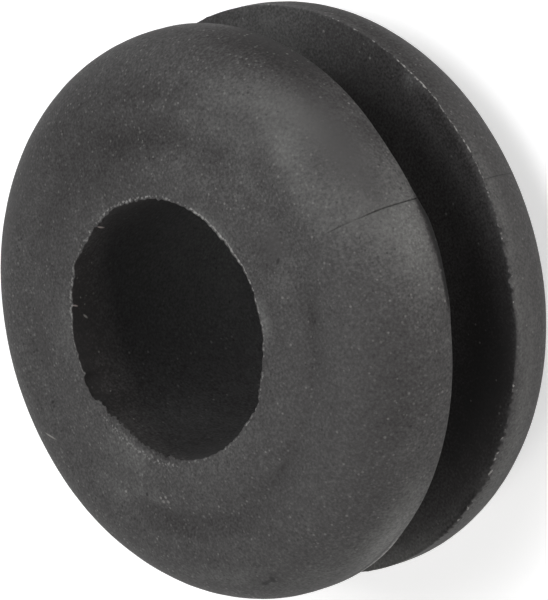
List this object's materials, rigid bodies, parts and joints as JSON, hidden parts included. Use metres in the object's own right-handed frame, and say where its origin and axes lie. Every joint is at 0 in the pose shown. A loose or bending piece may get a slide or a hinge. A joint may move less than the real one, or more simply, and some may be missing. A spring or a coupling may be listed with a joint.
{
  "type": "rubber grommet",
  "caption": "Round black rubber grommet: a plain bore through a moulded ring with two rounded flanges and a groove between them for a panel's edge.",
  "frame": {"origin": "middle of the lower end, on the bore's axis, in the plane of the lower land that it stands on", "axes": "+Z along the bore's axis, from the lower flange to the upper one; the section is round, and the mould's parting plane holds +X and +Z"},
  "size_m": [0.018, 0.018, 0.0092],
  "materials": {
    "moulded_rubber": "matt black moulded rubber with a dusty grey bloom"
  },
  "bodies": {
    "root": {"grommet": "moulded_rubber"}
  },
  "joints": []
}
